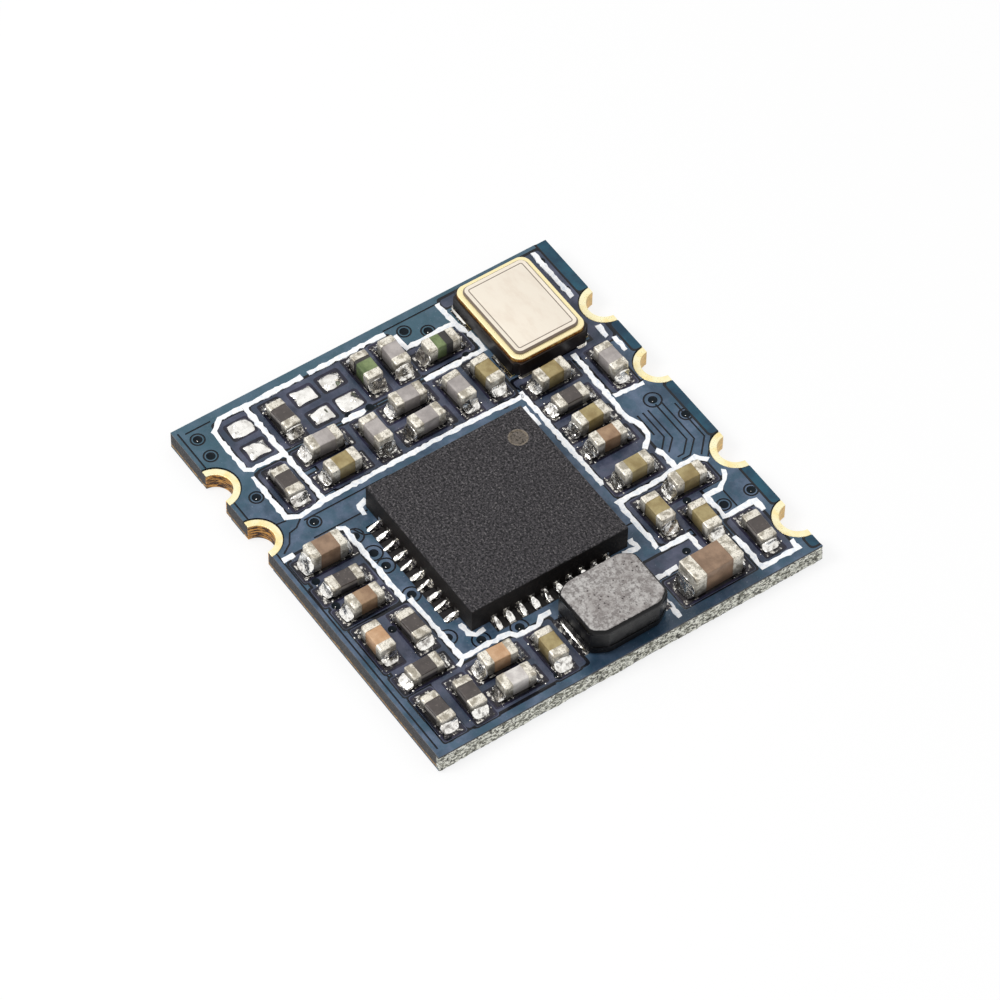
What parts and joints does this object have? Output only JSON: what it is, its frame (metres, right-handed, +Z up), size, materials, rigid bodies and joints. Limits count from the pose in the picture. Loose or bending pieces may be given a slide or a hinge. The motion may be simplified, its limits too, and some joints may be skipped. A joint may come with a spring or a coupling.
{
  "type": "wifi module",
  "caption": "Small circuit board with plated half holes along two edges, carrying a leadless radio chip, a crystal, a power inductor and chip parts.",
  "frame": {"origin": "centre of the board's lower face", "axes": "+X along the board's longer side, +Y across it towards the edge with four half holes, +Z up out of the side with the parts"},
  "size_m": [0.013, 0.0122, 0.0016],
  "materials": {
    "laminate": "woven glass laminate, snapped edge pale and fibrous",
    "copper": "etched copper",
    "solder_mask": "dark slate blue lacquer",
    "legend_ink": "white print, slightly ragged",
    "gold_plating": "thin gold over nickel",
    "chip_mould": "charcoal moulding compound",
    "lead_metal": "tin plated copper alloy",
    "case_ceramic": "dark brown ceramic",
    "seal_metal": "gold plated sealing frame",
    "lid_metal": "plain plated lid",
    "quartz": "quartz plate with thin electrodes",
    "ferrite": "ground ferrite, pitted",
    "winding_wire": "enamelled copper wire",
    "resin": "black filling resin",
    "terminal_metal": "tinned end terminal",
    "solder": "reflowed solder",
    "tin_plating": "plated tin",
    "grey_ceramic": "grey ceramic body",
    "pale_ceramic": "pale ceramic body",
    "tan_ceramic": "khaki tan ceramic body",
    "brown_ceramic": "brown ceramic body",
    "orange_ceramic": "light orange ceramic body",
    "umber_ceramic": "warm brown ceramic body",
    "green_ceramic": "green ceramic with a dark end",
    "resistor_body": "dark overcoat on pale alumina"
  },
  "bodies": {
    "root": {"board_core": "laminate", "capacitor_1": "grey_ceramic", "capacitor_10": "tan_ceramic", "capacitor_11": "tan_ceramic", "capacitor_12": "tan_ceramic", "capacitor_13": "tan_ceramic", "capacitor_14": "tan_ceramic", "capacitor_15": "tan_ceramic", "capacitor_16": "tan_ceramic", "capacitor_17": "tan_ceramic", "capacitor_18": "brown_ceramic", "capacitor_19": "brown_ceramic", "capacitor_2": "grey_ceramic", "capacitor_20": "orange_ceramic", "capacitor_21": "orange_ceramic", "capacitor_22": "umber_ceramic", "capacitor_23": "umber_ceramic", "capacitor_3": "grey_ceramic", "capacitor_4": "grey_ceramic", "capacitor_5": "grey_ceramic", "capacitor_6": "grey_ceramic", "capacitor_7": "grey_ceramic", "capacitor_8": "pale_ceramic", "capacitor_9": "tan_ceramic", "chip_body": "chip_mould", "chip_inductor_1": "green_ceramic", "chip_inductor_2": "green_ceramic", "chip_lead_frame": "lead_metal", "copper_bottom": "copper", "copper_top": "copper", "crystal_base": "case_ceramic", "crystal_blank": "quartz", "crystal_lid": "lid_metal", "crystal_pads": "gold_plating", "crystal_seal_ring": "seal_metal", "edge_contact_1": "gold_plating", "edge_contact_2": "gold_plating", "edge_contact_3": "gold_plating", "edge_contact_4": "gold_plating", "edge_contact_5": "gold_plating", "edge_contact_6": "gold_plating", "end_bands": "tin_plating", "inductor_core": "ferrite", "inductor_resin": "resin", "inductor_terminals": "terminal_metal", "inductor_winding": "winding_wire", "legend_print": "legend_ink", "resistor_1": "resistor_body", "resistor_2": "resistor_body", "resistor_3": "resistor_body", "resistor_4": "resistor_body", "resistor_5": "resistor_body", "resistor_6": "resistor_body", "resistor_7": "resistor_body", "resistor_8": "resistor_body", "resistor_9": "resistor_body", "solder_joints": "solder", "solder_mask_bottom": "solder_mask", "solder_mask_top": "solder_mask"}
  },
  "joints": []
}
